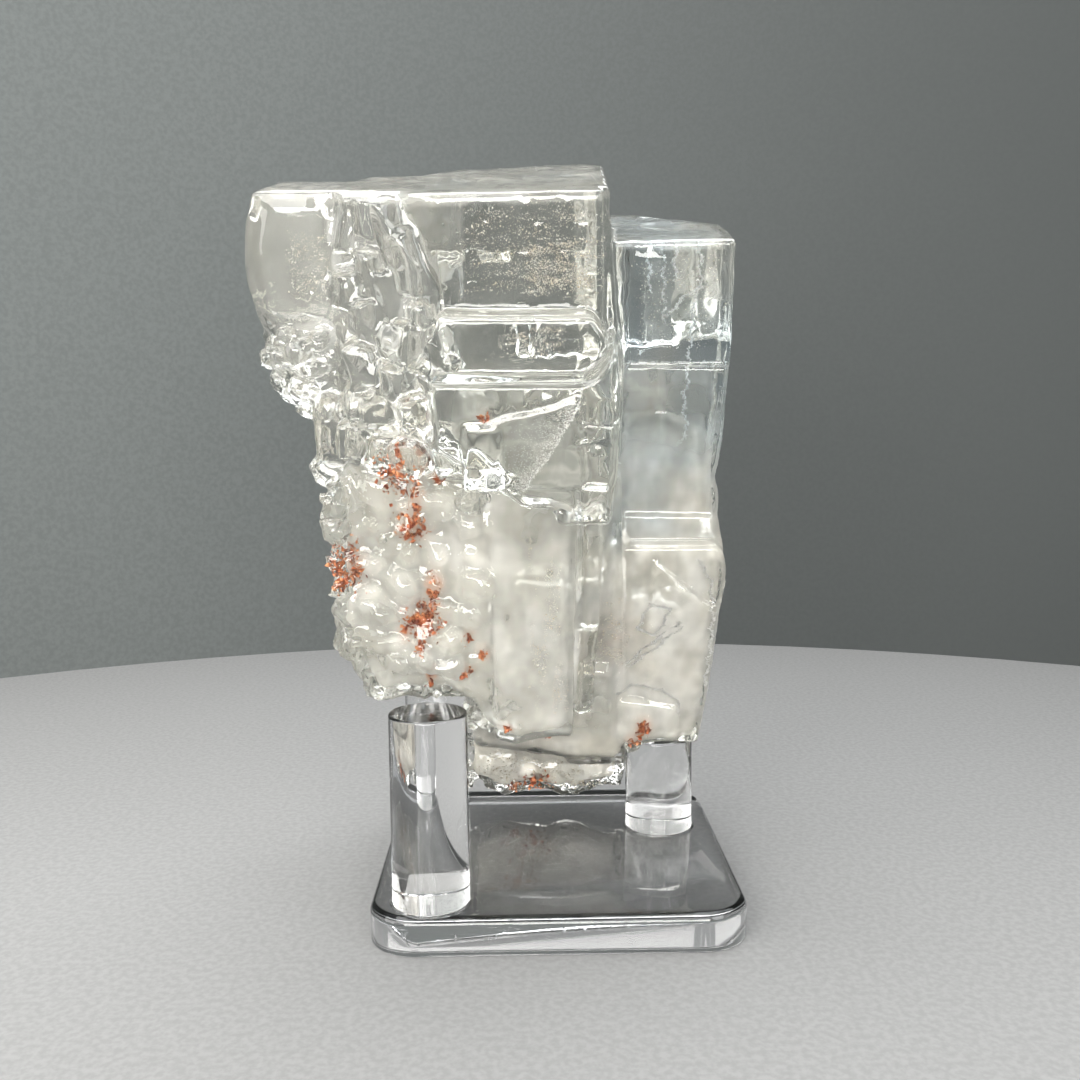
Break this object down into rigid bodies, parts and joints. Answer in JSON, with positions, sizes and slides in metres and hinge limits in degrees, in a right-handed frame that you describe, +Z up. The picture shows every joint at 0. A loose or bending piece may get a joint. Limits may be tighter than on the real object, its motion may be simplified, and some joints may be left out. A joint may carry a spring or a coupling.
{
  "type": "crystal specimen on stand",
  "caption": "Colourless to milky cubic crystal group with stepped, etched faces and rust-red flecks, resting on a clear acrylic peg stand.",
  "frame": {"origin": "centre of the stand plate's underside, on the surface that it stands on", "axes": "+Z up; -Y is the show side, towards which the crystal leans; +X to the right seen from the show side"},
  "size_m": [0.0769, 0.0748, 0.1296],
  "materials": {
    "clear_crystal": "clear to milky natural crystal, etched faces, rust-red flecks inside",
    "clear_acrylic": "polished clear acrylic, lightly scratched"
  },
  "bodies": {
    "root": {"crystal": "clear_crystal", "stand_plate": "clear_acrylic", "peg_front_left": "clear_acrylic", "peg_back_left": "clear_acrylic", "peg_right": "clear_acrylic"}
  },
  "joints": []
}
